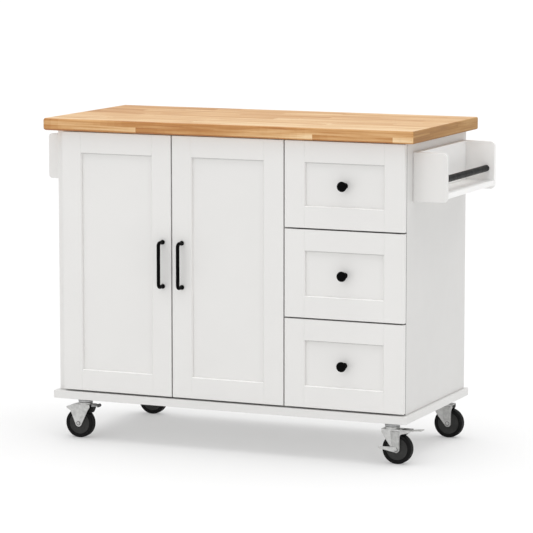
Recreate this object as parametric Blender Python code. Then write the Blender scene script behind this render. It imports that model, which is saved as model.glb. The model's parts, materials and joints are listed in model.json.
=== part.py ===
"""Kitchen island cart: a white cabinet with a butcher-block top, two shaker doors,
three shaker drawers, a spice rack, a towel rack and four swivel casters.

Metres, +Z up, X along the width, the front faces -Y, the floor is Z = 0.
Lengths below are in cabinet coordinates: X from the middle of the carcass,
Y from the plane of the door faces, Z from the floor. `add` moves them to the
final frame, whose origin is the bottom centre of the whole part's bounding box.
"""

from math import cos, pi, sin

import bmesh
import bpy
from mathutils import Matrix, Vector

# ---------------------------------------------------------------- dimensions
GAP = 0.0003            # clearance between pieces that touch

# worktop
TOP_Z, TOP_T = 0.915, 0.0345
TOP_X = 0.556           # half width
TOP_FRONT, TOP_BACK = -0.018, 0.504
TOP_ROUND = 0.0035

# base board
BASE_Z, BASE_T = 0.118, 0.022
BASE_X = 0.534
BASE_FRONT, BASE_BACK = -0.006, 0.501

# carcass
CARCASS_X = 0.525       # half width over the side panels
CARCASS_FRONT, CARCASS_BACK = 0.0175, 0.490
BOARD_T = 0.018
BACK_T = 0.005
PARTITION_X = 0.174
RAIL_DEPTH = 0.060
HINGE_STILE_W = 0.0167
SHELF_Z, SHELF_T = 0.500, 0.016

# fronts (doors and drawers)
FRONT_T = 0.015
LIP = 0.008             # depth of the recess
REBATE = 0.008
PANEL_T = 0.005
PANEL_PLAY = 0.0012     # room round the panel in its rebate
STILE, RAIL = 0.060, 0.060
FRONT_Z0, FRONT_Z1 = 0.145, 0.8775
LEFT_DOOR_X = (-0.503, -0.1667)
RIGHT_DOOR_X = (-0.1625, 0.172)
DRAWER_X = (0.176, 0.5245)
DRAWER_Z = {"bottom": (0.1450, 0.3890), "middle": (0.3932, 0.6357), "top": (0.6399, 0.8775)}

# drawer boxes and their runners
TRAY_X = (0.1955, 0.4945)
TRAY_DEPTH = 0.420
TRAY_WALL, TRAY_FLOOR = 0.012, 0.006
TRAY_RISE, TRAY_H = 0.032, 0.140
RUNNER_H = 0.040

# handles and knobs
HANDLE_X = (-0.1916, -0.1328)
HANDLE_Z, HANDLE_SPAN = 0.518, 0.124
HANDLE_R, HANDLE_OUT, HANDLE_BEND = 0.0050, 0.029, 0.009
FOOT_R, FOOT_H = 0.0066, 0.0035
KNOB_R, KNOB_OUT = 0.0141, 0.0315

# hinges
HINGE_INSET = 0.100     # from the ends of the door
HINGE_OFFSET = 0.034    # cup centre from the door's hinged edge

# spice rack on the right side
RACK_Y = (0.061, 0.467)
RACK_X = 0.622
RACK_Z = (0.718, 0.852)
RACK_T, RACK_BACK_T = 0.014, 0.012
RACK_SHELF = (0.728, 0.742)
RACK_BAR_X, RACK_BAR_Z, RACK_BAR_R = 0.598, 0.776, 0.0093
RACK_ROUND, RACK_CHAMFER = 0.013, 0.009

# towel rack on the left side
TOWEL_X = -0.577
TOWEL_Z = (0.7375, 0.865)
TOWEL_BAR_X, TOWEL_BAR_Z, TOWEL_BAR_R = -0.557, 0.776, 0.0093
TOWEL_ROUND = 0.010

# casters
WHEEL_R, WHEEL_HALF = 0.042, 0.0126
BORE_R, AXLE_R = 0.0044, 0.0040
LEG_IN, LEG_T = 0.0135, 0.0025
SWIVEL_OFFSET = 0.016   # wheel centre to swivel axis
PLATE_HALF, PLATE_T = (0.031, 0.027), 0.0026
CASTERS = {             # swivel axis x, y, side of the wheel, brake
    "front_left": (-0.459, 0.047, -1, True),
    "front_right": (0.476, 0.047, 1, True),
    "rear_left": (-0.459, 0.460, 1, False),
    "rear_right": (0.476, 0.460, 1, False),
}
PEDAL_HALF, PEDAL_T = 0.0125, 0.0026

# extent of the whole part, from which the origin follows
X_MIN, X_MAX = TOWEL_X, RACK_X
Y_MIN, Y_MAX = -(HANDLE_OUT + HANDLE_R), TOP_BACK
ORIGIN = Vector(((X_MIN + X_MAX) / 2, (Y_MIN + Y_MAX) / 2, 0.0))

# name: base colour, roughness, metallic
COLOURS = {
    "white": ((0.80, 0.80, 0.79), 0.38, 0.0),
    "white_inside": ((0.78, 0.78, 0.77), 0.50, 0.0),
    "wood": ((0.62, 0.36, 0.15), 0.42, 0.0),
    "birch": ((0.66, 0.50, 0.32), 0.50, 0.0),
    "black": ((0.015, 0.015, 0.016), 0.42, 0.6),
    "steel": ((0.62, 0.62, 0.61), 0.36, 1.0),
    "tyre": ((0.022, 0.022, 0.023), 0.62, 0.0),
}


# ------------------------------------------------------------------- helpers
def clear_scene():
    for obj in list(bpy.data.objects):
        bpy.data.objects.remove(obj, do_unlink=True)
    for mesh in list(bpy.data.meshes):
        bpy.data.meshes.remove(mesh)


def material(name, slot):
    colour, roughness, metallic = COLOURS[slot]
    mat = bpy.data.materials.new(name + "_" + slot)
    mat.use_nodes = True
    shader = mat.node_tree.nodes["Principled BSDF"]
    shader.inputs["Base Color"].default_value = (*colour, 1.0)
    shader.inputs["Roughness"].default_value = roughness
    shader.inputs["Metallic"].default_value = metallic
    mat.diffuse_color = (*colour, 1.0)
    return mat


ORIGINS = {}


def add(name, bm, slot, origin=None, parent=None, bevel=0.0, segments=2, angle=40.0):
    """Make an object from a bmesh in cabinet coordinates, its origin at `origin`."""
    bmesh.ops.remove_doubles(bm, verts=bm.verts, dist=1e-6)
    bmesh.ops.recalc_face_normals(bm, faces=bm.faces)
    if origin is None:
        lo = Vector([min(v.co[k] for v in bm.verts) for k in range(3)])
        hi = Vector([max(v.co[k] for v in bm.verts) for k in range(3)])
        origin = (lo + hi) / 2
    origin = Vector(origin)
    bmesh.ops.translate(bm, verts=bm.verts, vec=-origin)
    mesh = bpy.data.meshes.new(name)
    bm.to_mesh(mesh)
    bm.free()
    obj = bpy.data.objects.new(name, mesh)
    bpy.context.scene.collection.objects.link(obj)
    mesh.materials.append(material(name, slot))
    ORIGINS[name] = origin
    if parent:
        obj.parent = bpy.data.objects[parent]
        obj.location = origin - ORIGINS[parent]
    else:
        obj.location = origin - ORIGIN
    if bevel:
        mod = obj.modifiers.new("edge", "BEVEL")
        mod.width = bevel
        mod.segments = segments
        mod.limit_method = "ANGLE"
        mod.angle_limit = angle * pi / 180
    return obj


def box(x, y, z):
    """A closed box between the pairs x, y and z."""
    bm = bmesh.new()
    bmesh.ops.create_cube(bm, size=1.0)
    size = Vector((x[1] - x[0], y[1] - y[0], z[1] - z[0]))
    bmesh.ops.scale(bm, verts=bm.verts, vec=size)
    mid = Vector(((x[0] + x[1]) / 2, (y[0] + y[1]) / 2, (z[0] + z[1]) / 2))
    bmesh.ops.translate(bm, verts=bm.verts, vec=mid)
    return bm


def prism(outline, y0, y1):
    """Extrude a closed XZ outline from y0 to y1."""
    bm = bmesh.new()
    near = [bm.verts.new((x, y0, z)) for x, z in outline]
    far = [bm.verts.new((x, y1, z)) for x, z in outline]
    bm.faces.new(near)
    bm.faces.new(list(reversed(far)))
    n = len(outline)
    for i in range(n):
        j = (i + 1) % n
        bm.faces.new((near[j], near[i], far[i], far[j]))
    return bm


def arc(cx, cz, r, a0, a1, steps):
    """Points on a circle from angle a0 to a1 in degrees."""
    out = []
    for i in range(steps + 1):
        a = (a0 + (a1 - a0) * i / steps) * pi / 180
        out.append((cx + r * cos(a), cz + r * sin(a)))
    return out


def lathe(profile, steps, closed=False):
    """Revolve (radius, height) points about Z. Closed profiles make a ring."""
    bm = bmesh.new()
    rings = []
    for r, h in profile:
        if r < 1e-9:
            rings.append([bm.verts.new((0, 0, h))])
            continue
        turn = [2 * pi * i / steps for i in range(steps)]
        rings.append([bm.verts.new((r * cos(a), r * sin(a), h)) for a in turn])
    pairs = list(zip(rings, rings[1:]))
    if closed:
        pairs.append((rings[-1], rings[0]))
    for a, b in pairs:
        for i in range(steps):
            j = (i + 1) % steps
            if len(a) == 1:
                bm.faces.new((a[0], b[i], b[j]))
            elif len(b) == 1:
                bm.faces.new((a[i], a[j], b[0]))
            else:
                bm.faces.new((a[i], a[j], b[j], b[i]))
    return bm


def cylinder(centre, axis, radius, length, steps=24):
    """A closed cylinder centred on `centre` along the letter `axis`."""
    half = length / 2
    bm = lathe([(0, -half), (radius, -half), (radius, half), (0, half)], steps)
    turn = {"X": Matrix.Rotation(pi / 2, 3, "Y"), "Y": Matrix.Rotation(-pi / 2, 3, "X")}
    if axis in turn:
        bmesh.ops.rotate(bm, verts=bm.verts, matrix=turn[axis])
    bmesh.ops.translate(bm, verts=bm.verts, vec=Vector(centre))
    return bm


def boolean(bms, operation):
    """Combine closed bmeshes into one with the exact solver, and return it."""
    objects = []
    for bm in bms:
        bmesh.ops.recalc_face_normals(bm, faces=bm.faces)
        mesh = bpy.data.meshes.new("tool")
        bm.to_mesh(mesh)
        bm.free()
        obj = bpy.data.objects.new("tool", mesh)
        bpy.context.scene.collection.objects.link(obj)
        objects.append(obj)
    for tool in objects[1:]:
        mod = objects[0].modifiers.new("join", "BOOLEAN")
        mod.operation = operation
        mod.solver = "EXACT"
        mod.object = tool
    bpy.context.view_layer.update()
    graph = bpy.context.evaluated_depsgraph_get()
    mesh = bpy.data.meshes.new_from_object(objects[0].evaluated_get(graph))
    out = bmesh.new()
    out.from_mesh(mesh)
    bpy.data.meshes.remove(mesh)
    for obj in objects:
        data = obj.data
        bpy.data.objects.remove(obj, do_unlink=True)
        bpy.data.meshes.remove(data)
    return out


def join(*bms):
    return boolean(list(bms), "UNION")


def cut(*bms):
    return boolean(list(bms), "DIFFERENCE")


# ------------------------------------------------------------------- cabinet
def build_cabinet():
    base_top = BASE_Z + BASE_T
    inner = CARCASS_X - BOARD_T
    z_carcass = (base_top + GAP, TOP_Z - TOP_T - GAP)
    z_under_rail = (z_carcass[0], z_carcass[1] - BOARD_T - GAP)

    slab = box((-TOP_X, TOP_X), (TOP_FRONT, TOP_BACK), (TOP_Z - TOP_T, TOP_Z))
    add("worktop", slab, "wood", bevel=TOP_ROUND, segments=3)
    base = box((-BASE_X, BASE_X), (BASE_FRONT, BASE_BACK), (BASE_Z, base_top))
    add("base_board", base, "white", bevel=0.0015)

    depth = (CARCASS_FRONT, CARCASS_BACK)
    left = box((-CARCASS_X, -inner), depth, z_carcass)
    add("left_side_panel", left, "white", bevel=0.001, segments=1)
    right = box((inner, CARCASS_X), depth, z_carcass)
    add("right_side_panel", right, "white", bevel=0.001, segments=1)

    back_y = CARCASS_BACK - BACK_T
    inside = (-inner + GAP, inner - GAP)
    add("back_panel", box(inside, (back_y, CARCASS_BACK - 0.0005), z_carcass), "white_inside")
    rail_z = (z_carcass[1] - BOARD_T, z_carcass[1])
    rail_y = (CARCASS_FRONT, CARCASS_FRONT + RAIL_DEPTH)
    add("front_top_rail", box(inside, rail_y, rail_z), "white")

    part_x = (PARTITION_X - BOARD_T / 2, PARTITION_X + BOARD_T / 2)
    part_y = (CARCASS_FRONT, back_y - GAP)
    add("centre_partition", box(part_x, part_y, z_under_rail), "white")
    stile_x = (-inner + GAP, -inner + HINGE_STILE_W)
    stile_y = (CARCASS_FRONT, CARCASS_FRONT + BOARD_T)
    add("hinge_stile", box(stile_x, stile_y, z_under_rail), "white")

    shelf_y = (CARCASS_FRONT + BOARD_T + 0.030, back_y - GAP)
    shelf_z = (SHELF_Z, SHELF_Z + SHELF_T)
    shelf = box((-inner + GAP, part_x[0] - GAP), shelf_y, shelf_z)
    add("cupboard_shelf", shelf, "white_inside", bevel=0.001, segments=1)

    for level, (z0, _) in DRAWER_Z.items():
        mid = z0 + TRAY_RISE + TRAY_H / 2
        z = (mid - RUNNER_H / 2, mid + RUNNER_H / 2)
        y = (CARCASS_FRONT + 0.002, CARCASS_FRONT + 0.002 + TRAY_DEPTH)
        left_x = (part_x[1] + GAP, TRAY_X[0] - GAP)
        right_x = (TRAY_X[1] + GAP, inner - GAP)
        add(level + "_runner_left", box(left_x, y, z), "steel", bevel=0.002, segments=1)
        add(level + "_runner_right", box(right_x, y, z), "steel", bevel=0.002, segments=1)


# -------------------------------------------------------------------- fronts
def shaker_frame(x, z):
    """Stiles and rails as one ring with a rebate behind the inner edge."""
    profile = (     # share of the stile's or rail's width, extra inset, depth
        (0, 0.0, 0.0), (1, 0.0, 0.0), (1, 0.0, LIP),
        (1, -REBATE, LIP), (1, -REBATE, FRONT_T), (0, 0.0, FRONT_T),
    )
    bm = bmesh.new()
    loops = []
    for share, extra, y in profile:
        dx, dz = share * STILE + extra, share * RAIL + extra
        corners = (
            (x[0] + dx, z[0] + dz), (x[1] - dx, z[0] + dz),
            (x[1] - dx, z[1] - dz), (x[0] + dx, z[1] - dz),
        )
        loops.append([bm.verts.new((cx, y, cz)) for cx, cz in corners])
    for a, b in zip(loops, loops[1:] + loops[:1]):
        for i in range(4):
            j = (i + 1) % 4
            bm.faces.new((a[i], a[j], b[j], b[i]))
    return bm


def shaker_panel(x, z):
    """The flat panel that lies in the rebate of a shaker frame."""
    sx, sz = STILE - REBATE + PANEL_PLAY, RAIL - REBATE + PANEL_PLAY
    return box(
        (x[0] + sx, x[1] - sx), (LIP + GAP, LIP + GAP + PANEL_T), (z[0] + sz, z[1] - sz)
    )


def tube(points, radii, steps=14):
    """A closed round bar along points in a YZ plane, with a radius at each."""
    bm = bmesh.new()
    rings = []
    for k, (point, radius) in enumerate(zip(points, radii)):
        before, after = points[max(k - 1, 0)], points[min(k + 1, len(points) - 1)]
        along = (Vector(after) - Vector(before)).normalized()
        side = Vector((1, 0, 0))
        up = along.cross(side).normalized()
        ring = []
        for i in range(steps):
            a = 2 * pi * i / steps
            offset = side * cos(a) * radius + up * sin(a) * radius
            ring.append(bm.verts.new(Vector(point) + offset))
        rings.append(ring)
    for a, b in zip(rings, rings[1:]):
        for i in range(steps):
            j = (i + 1) % steps
            bm.faces.new((a[i], a[j], b[j], b[i]))
    bm.faces.new(rings[0])
    bm.faces.new(list(reversed(rings[-1])))
    return bm


def pull_handle(x):
    """A D-shaped bar handle: flanged foot, bend, grip, bend, flanged foot."""
    face = -GAP
    z0, z1 = HANDLE_Z - HANDLE_SPAN / 2, HANDLE_Z + HANDLE_SPAN / 2
    bend = HANDLE_BEND
    lower = [(0.0, FOOT_R), (FOOT_H, FOOT_R), (FOOT_H + 0.0006, HANDLE_R), (0.012, HANDLE_R)]
    points = [(x, face - out, z0) for out, _ in lower]
    radii = [r for _, r in lower]
    for i in range(7):
        a = pi / 2 * i / 6
        y = -(HANDLE_OUT - bend) - bend * sin(a)
        points.append((x, y, z0 + bend - bend * cos(a)))
        radii.append(HANDLE_R)
    points.append((x, -HANDLE_OUT, HANDLE_Z))
    radii.append(HANDLE_R)
    for (px, py, pz), r in reversed(list(zip(points[:-1], radii[:-1]))):
        points.append((px, py, z0 + z1 - pz))
        radii.append(r)
    return tube(points, radii)


def knob(x, y, z):
    """A round knob on a short stem, standing on the recessed panel."""
    out = KNOB_OUT
    profile = [
        (0, 0), (0.0080, 0), (0.0080, 0.0022), (0.0058, 0.0034), (0.0054, out - 0.0135),
        (0.0080, out - 0.0107), (0.0122, out - 0.0089), (KNOB_R, out - 0.0067),
        (KNOB_R, out - 0.0045), (0.0124, out - 0.0018), (0.0092, out - 0.0004), (0, out),
    ]
    bm = lathe(profile, 24)
    bmesh.ops.rotate(bm, verts=bm.verts, matrix=Matrix.Rotation(pi / 2, 3, "X"))
    bmesh.ops.translate(bm, verts=bm.verts, vec=Vector((x, y, z)))
    return bm


def cup_hinge(x_edge, side, z):
    """The door's half of a concealed hinge: flange, cup lid and arm."""
    x = x_edge + side * HINGE_OFFSET
    y0 = FRONT_T + GAP
    flange = box((x - 0.0165, x + 0.0165), (y0, y0 + 0.0015), (z - 0.026, z + 0.026))
    lid = cylinder((x, y0 + 0.0024, z), "Y", 0.0150, 0.0044, 24)
    arm = box((x - 0.005, x + 0.005), (y0 + 0.003, y0 + 0.030), (z - 0.009, z + 0.009))
    return join(flange, lid, arm)


def build_doors():
    z = (FRONT_Z0, FRONT_Z1)
    plan = (
        ("left", LEFT_DOOR_X, LEFT_DOOR_X[0], 1, HANDLE_X[0]),
        ("right", RIGHT_DOOR_X, RIGHT_DOOR_X[1], -1, HANDLE_X[1]),
    )
    for side, x, edge, inward, handle_x in plan:
        frame = side + "_door_frame"
        add(frame, shaker_frame(x, z), "white", origin=(edge, 0, z[0]), bevel=0.0009)
        add(side + "_door_panel", shaker_panel(x, z), "white", parent=frame)
        add(side + "_door_handle", pull_handle(handle_x), "black", parent=frame)
        for place, at in (("lower", z[0] + HINGE_INSET), ("upper", z[1] - HINGE_INSET)):
            hinge = cup_hinge(edge, inward, at)
            add(side + "_door_hinge_" + place, hinge, "steel", parent=frame)


def build_drawers():
    mid_x = (DRAWER_X[0] + DRAWER_X[1]) / 2
    for level, z in DRAWER_Z.items():
        frame = level + "_drawer_frame"
        add(frame, shaker_frame(DRAWER_X, z), "white", bevel=0.0009)
        add(level + "_drawer_panel", shaker_panel(DRAWER_X, z), "white", parent=frame)
        z0 = z[0] + TRAY_RISE
        y0 = FRONT_T + GAP
        y1 = y0 + TRAY_DEPTH
        w = TRAY_WALL
        outer = box(TRAY_X, (y0, y1), (z0, z0 + TRAY_H))
        hollow = box(
            (TRAY_X[0] + w, TRAY_X[1] - w), (y0 + w, y1 - w),
            (z0 + TRAY_FLOOR, z0 + TRAY_H + 0.01),
        )
        add(level + "_drawer_box", cut(outer, hollow), "birch", parent=frame)
        middle = knob(mid_x, LIP, (z[0] + z[1]) / 2)
        add(level + "_drawer_knob", middle, "black", parent=frame)


# --------------------------------------------------------------------- racks
def build_spice_rack():
    x0, x1, (z0, z1) = CARCASS_X + GAP, RACK_X, RACK_Z
    outline = [(x0, z0), (x1 - RACK_CHAMFER, z0), (x1, z0 + RACK_CHAMFER)]
    outline += arc(x1 - RACK_ROUND, z1 - RACK_ROUND, RACK_ROUND, 0, 90, 6) + [(x0, z1)]
    y0, y1 = RACK_Y
    near = prism(outline, y0, y0 + RACK_T)
    add("spice_rack_front_end", near, "white", bevel=0.0012, angle=50)
    far = prism(outline, y1 - RACK_T, y1)
    add("spice_rack_rear_end", far, "white", bevel=0.0012, angle=50)
    inner_y = (y0 + RACK_T + GAP, y1 - RACK_T - GAP)
    board_x = (x0, x0 + RACK_BACK_T)
    board = box(board_x, inner_y, (RACK_SHELF[0], z1))
    add("spice_rack_back", board, "white", bevel=0.001, segments=1)
    shelf = box((board_x[1] + GAP, x1 - 0.0008), inner_y, RACK_SHELF)
    add("spice_rack_shelf", shelf, "white", bevel=0.001, segments=1)
    mid_y = (y0 + y1) / 2
    bar = cylinder(
        (RACK_BAR_X, mid_y, RACK_BAR_Z), "Y", RACK_BAR_R, inner_y[1] - inner_y[0], 20
    )
    add("spice_rack_bar", bar, "black")


def build_towel_rack():
    x0, x1, (z0, z1), r = -CARCASS_X - GAP, TOWEL_X, TOWEL_Z, TOWEL_ROUND
    outline = [(x0, z0), (x0, z1)]
    outline += arc(x1 + r, z1 - r, r, 90, 180, 5) + arc(x1 + r, z0 + r, r, 180, 270, 5)
    y0, y1 = RACK_Y
    near = prism(outline, y0, y0 + RACK_T)
    add("towel_rack_front_bracket", near, "white", bevel=0.0012, angle=50)
    far = prism(outline, y1 - RACK_T, y1)
    add("towel_rack_rear_bracket", far, "white", bevel=0.0012, angle=50)
    length = y1 - y0 - 2 * RACK_T - 2 * GAP
    middle = (TOWEL_BAR_X, (y0 + y1) / 2, TOWEL_BAR_Z)
    add("towel_rack_bar", cylinder(middle, "Y", TOWEL_BAR_R, length, 20), "black")


# ------------------------------------------------------------------- casters
def wheel_mesh(x, y):
    half = [
        (BORE_R, 0.0130), (0.0088, 0.0130), (0.0105, 0.0100), (0.0125, 0.0078),
        (0.0285, 0.0078), (0.0300, 0.0098), (0.0314, 0.0112), (0.0335, WHEEL_HALF),
        (0.0395, WHEEL_HALF), (0.0412, WHEEL_HALF - 0.0014), (WHEEL_R, WHEEL_HALF - 0.0044),
    ]
    profile = [(r, -h) for r, h in half] + [(r, h) for r, h in reversed(half)]
    bm = lathe(profile, 40, closed=True)
    bmesh.ops.rotate(bm, verts=bm.verts, matrix=Matrix.Rotation(-pi / 2, 3, "X"))
    bmesh.ops.translate(bm, verts=bm.verts, vec=Vector((x, y, WHEEL_R)))
    return bm


# leg outlines (x, z) from the axle, for a wheel beyond or short of the swivel
LEG_TRAILING = arc(0, 0, 0.010, 205, 360, 8) + [
    (0.0105, 0.036), (0.0140, 0.044), (0.0140, 0.055), (-0.044, 0.055), (-0.046, 0.049),
    (-0.034, 0.027),
]
LEG_TRAILING_BRAKE = arc(0, 0, 0.010, 205, 360, 8) + [
    (0.0105, 0.037), (0.0130, 0.041), (0.0230, 0.0445), (0.0400, 0.0490), (0.0400, 0.055),
    (-0.043, 0.055), (-0.043, 0.046), (-0.0295, 0.0250),
]
LEG_LEADING = arc(0, 0, 0.010, 203, 338, 8) + [
    (0.029, 0.038), (0.044, 0.046), (0.044, 0.055), (-0.008, 0.055), (-0.039, 0.0465),
    (-0.037, 0.041), (-0.025, 0.035),
]
BRAKE_ARM = [(0.004, 0.008), (-0.051, 0.006), (-0.053, 0.003), (-0.048, 0.000), (-0.004, -0.008)]


def fork_mesh(x, y, side, brake):
    """Two legs, the crown over the wheel, the raceway cup and the axle."""
    outline = LEG_TRAILING_BRAKE if brake else LEG_TRAILING
    crown = (-0.044, 0.014)
    if side < 0:
        outline, crown = LEG_LEADING, (-0.008, 0.034)
    outline = [(x + u, WHEEL_R + w) for u, w in outline]
    outer = LEG_IN + LEG_T
    near = prism(outline, y - outer, y - LEG_IN)
    far = prism(outline, y + LEG_IN, y + outer)
    top = WHEEL_R + 0.055
    bridge = box(
        (x + crown[0], x + crown[1]), (y - LEG_IN - LEG_T / 2, y + LEG_IN + LEG_T / 2),
        (top - LEG_T, top - 0.0002),
    )
    cup = cylinder((x - side * SWIVEL_OFFSET, y, top + 0.0025), "Z", 0.0205, 0.0080, 28)
    axle = cylinder((x, y, WHEEL_R), "Y", AXLE_R, 2 * outer - 0.001, 20)
    head = cylinder((x, y - outer - 0.001, WHEEL_R), "Y", 0.0062, 0.0040, 6)
    nut = cylinder((x, y + outer + 0.001, WHEEL_R), "Y", 0.0062, 0.0040, 6)
    pieces = [near, far, bridge, cup, axle, head, nut]
    if brake and side > 0:
        arm = [(x + u, WHEEL_R + w) for u, w in BRAKE_ARM]
        pieces.append(prism(arm, y - outer - 0.0018, y - outer + 0.0006))
    return join(*pieces)


def top_plate_mesh(x, y):
    """The screwed-on plate with the upper half of the raceway under it."""
    z1 = BASE_Z - GAP
    z0 = z1 - PLATE_T
    hx, hy = PLATE_HALF
    plate = box((x - hx, x + hx), (y - hy, y + hy), (z0, z1))
    race_z = WHEEL_R + 0.055 + 0.0065 + 0.0006
    mid = (race_z + z0 + 0.001) / 2
    race = cylinder((x, y, mid), "Z", 0.0225, z0 + 0.001 - race_z, 28)
    heads = [
        cylinder((x + sx * (hx - 0.007), y + sy * (hy - 0.007), z0 - 0.0008), "Z", 0.0045, 0.0030, 12)
        for sx in (-1, 1) for sy in (-1, 1)
    ]
    return join(plate, race, *heads)


def pedal_mesh(x, y, u0, u1):
    """A bent sheet lever; its inner end turns on the fork above the tyre."""
    z = WHEEL_R + 0.0490
    tip = u1 - 0.008
    below = [(u0, -0.0010), (tip, 0.0010), (u1, 0.0030)]
    above = [(u1, 0.0052), (u1 - 0.001, 0.0058), (tip, 0.0010 + PEDAL_T), (u0, PEDAL_T - 0.0010)]
    outline = [(x + u, z + w) for u, w in below + above]
    return prism(outline, y - PEDAL_HALF, y + PEDAL_HALF)


def build_casters():
    for name, (sx, sy, side, brake) in CASTERS.items():
        x = sx + side * SWIVEL_OFFSET
        add(name + "_caster_plate", top_plate_mesh(sx, sy), "steel")
        fork = name + "_caster_fork"
        add(fork, fork_mesh(x, sy, side, brake), "steel", origin=(sx, sy, BASE_Z - 0.015))
        add(name + "_caster_wheel", wheel_mesh(x, sy), "tyre", parent=fork)
        if brake:
            u0 = 0.0155 if side > 0 else 0.0360
            pivot = (x + u0 + 0.003, sy, WHEEL_R + 0.0495)
            lever = pedal_mesh(x, sy, u0, 0.072)
            add(name + "_brake_pedal", lever, "steel", origin=pivot, parent=fork, bevel=0.0006,
                segments=1)


clear_scene()
build_cabinet()
build_doors()
build_drawers()
build_spice_rack()
build_towel_rack()
build_casters()
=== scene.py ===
import json
import random
from math import cos, pi, radians, sin

import bmesh
import bpy
from mathutils import Matrix, Vector


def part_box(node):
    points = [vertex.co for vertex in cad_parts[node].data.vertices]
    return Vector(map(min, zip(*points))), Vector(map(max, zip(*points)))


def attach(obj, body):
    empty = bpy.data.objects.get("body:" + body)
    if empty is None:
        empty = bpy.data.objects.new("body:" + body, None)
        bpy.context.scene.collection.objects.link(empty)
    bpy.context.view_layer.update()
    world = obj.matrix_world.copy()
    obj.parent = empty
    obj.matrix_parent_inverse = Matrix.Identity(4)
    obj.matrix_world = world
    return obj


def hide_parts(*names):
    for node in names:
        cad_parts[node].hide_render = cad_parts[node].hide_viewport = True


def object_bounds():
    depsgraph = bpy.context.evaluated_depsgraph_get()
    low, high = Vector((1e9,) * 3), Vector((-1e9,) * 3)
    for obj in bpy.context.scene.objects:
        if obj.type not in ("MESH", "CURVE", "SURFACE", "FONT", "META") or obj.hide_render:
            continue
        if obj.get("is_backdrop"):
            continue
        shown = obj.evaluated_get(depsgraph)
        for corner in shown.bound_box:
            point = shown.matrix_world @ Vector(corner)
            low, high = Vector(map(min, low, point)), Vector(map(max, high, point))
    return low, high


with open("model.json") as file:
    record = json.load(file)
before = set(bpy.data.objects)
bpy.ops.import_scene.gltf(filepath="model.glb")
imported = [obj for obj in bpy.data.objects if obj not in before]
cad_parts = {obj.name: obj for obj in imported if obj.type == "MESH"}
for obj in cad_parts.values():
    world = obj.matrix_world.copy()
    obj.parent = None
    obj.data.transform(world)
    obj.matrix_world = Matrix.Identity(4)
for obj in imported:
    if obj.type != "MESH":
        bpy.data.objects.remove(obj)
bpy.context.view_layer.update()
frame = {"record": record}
record = frame["record"]
BODY = {n: b for b, nodes in record["behaviour"]["bodies"].items() for n in nodes}
SLOT = {s["node"]: s["material_slot"] for s in record["subparts"]}
MID_X = (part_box("worktop")[0].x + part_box("worktop")[1].x) / 2   # middle of the carcass


# ---------------------------------------------------------------- node helpers
class Shader:
    """A Principled material with short calls for the nodes that feed it."""

    def __init__(self, name, colour, roughness, metallic=0.0):
        self.mat = bpy.data.materials.new(name)
        self.mat.use_nodes = True
        self.tree = self.mat.node_tree
        self.bsdf = self.tree.nodes["Principled BSDF"]
        self.set("Base Color", (*colour, 1.0))
        self.set("Roughness", roughness)
        self.set("Metallic", metallic)
        self.mat.diffuse_color = (*colour, 1.0)
        coords = self.tree.nodes.new("ShaderNodeTexCoord")
        self.object = coords.outputs["Object"]

    def set(self, socket, value):
        self.bsdf.inputs[socket].default_value = value

    def link(self, source, target):
        self.tree.links.new(source, target)

    def put(self, socket, source):
        self.link(source, self.bsdf.inputs[socket])

    def feed(self, node, index, value):
        if isinstance(value, bpy.types.NodeSocket):
            self.link(value, node.inputs[index])
        else:
            node.inputs[index].default_value = value

    def math(self, operation, a, b=0.0):
        node = self.tree.nodes.new("ShaderNodeMath")
        node.operation = operation
        self.feed(node, 0, a)
        self.feed(node, 1, b)
        return node.outputs[0]

    def vector(self, operation, a, b):
        node = self.tree.nodes.new("ShaderNodeVectorMath")
        node.operation = operation
        self.feed(node, 0, a)
        self.feed(node, 1, b)
        return node.outputs[0]

    def noise(self, scale, detail=3.0, roughness=0.55, at=None, stretch=None, distortion=0.0):
        node = self.tree.nodes.new("ShaderNodeTexNoise")
        source = at or self.object
        if stretch:
            source = self.vector("MULTIPLY", source, stretch)
        self.link(source, node.inputs["Vector"])
        node.inputs["Scale"].default_value = scale
        node.inputs["Detail"].default_value = detail
        node.inputs["Roughness"].default_value = roughness
        node.inputs["Distortion"].default_value = distortion
        return node.outputs["Fac"]

    def span(self, value, lo, hi, a=0.0, b=1.0):
        """Map value from a..b to lo..hi, clamped."""
        node = self.tree.nodes.new("ShaderNodeMapRange")
        self.feed(node, 0, value)
        for k, v in enumerate((a, b, lo, hi), 1):
            node.inputs[k].default_value = v
        return node.outputs[0]

    def ramp(self, value, stops):
        node = self.tree.nodes.new("ShaderNodeValToRGB")
        ramp = node.color_ramp
        while len(ramp.elements) < len(stops):
            ramp.elements.new(0.5)
        for element, (place, colour) in zip(ramp.elements, stops):
            element.position = place
            element.color = (*colour, 1.0)
        self.link(value, node.inputs[0])
        return node.outputs[0]

    def mix(self, factor, a, b):
        node = self.tree.nodes.new("ShaderNodeMix")
        node.data_type = "RGBA"
        self.feed(node, 0, factor)
        for k, v in ((6, a), (7, b)):
            self.feed(node, k, v if isinstance(v, bpy.types.NodeSocket) else (*v, 1.0))
        return node.outputs[2]

    def normal(self, axis):
        """One component of the surface's own direction."""
        geometry = self.tree.nodes.new("ShaderNodeNewGeometry")
        parts = self.tree.nodes.new("ShaderNodeSeparateXYZ")
        self.link(geometry.outputs["True Normal"], parts.inputs[0])
        return parts.outputs[axis]

    def attribute(self, name):
        node = self.tree.nodes.new("ShaderNodeAttribute")
        node.attribute_name = name
        return node.outputs["Fac"]

    def bump(self, height, strength, distance):
        node = self.tree.nodes.new("ShaderNodeBump")
        node.inputs["Strength"].default_value = strength
        node.inputs["Distance"].default_value = distance
        self.link(height, node.inputs["Height"])
        self.put("Normal", node.outputs[0])


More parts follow.
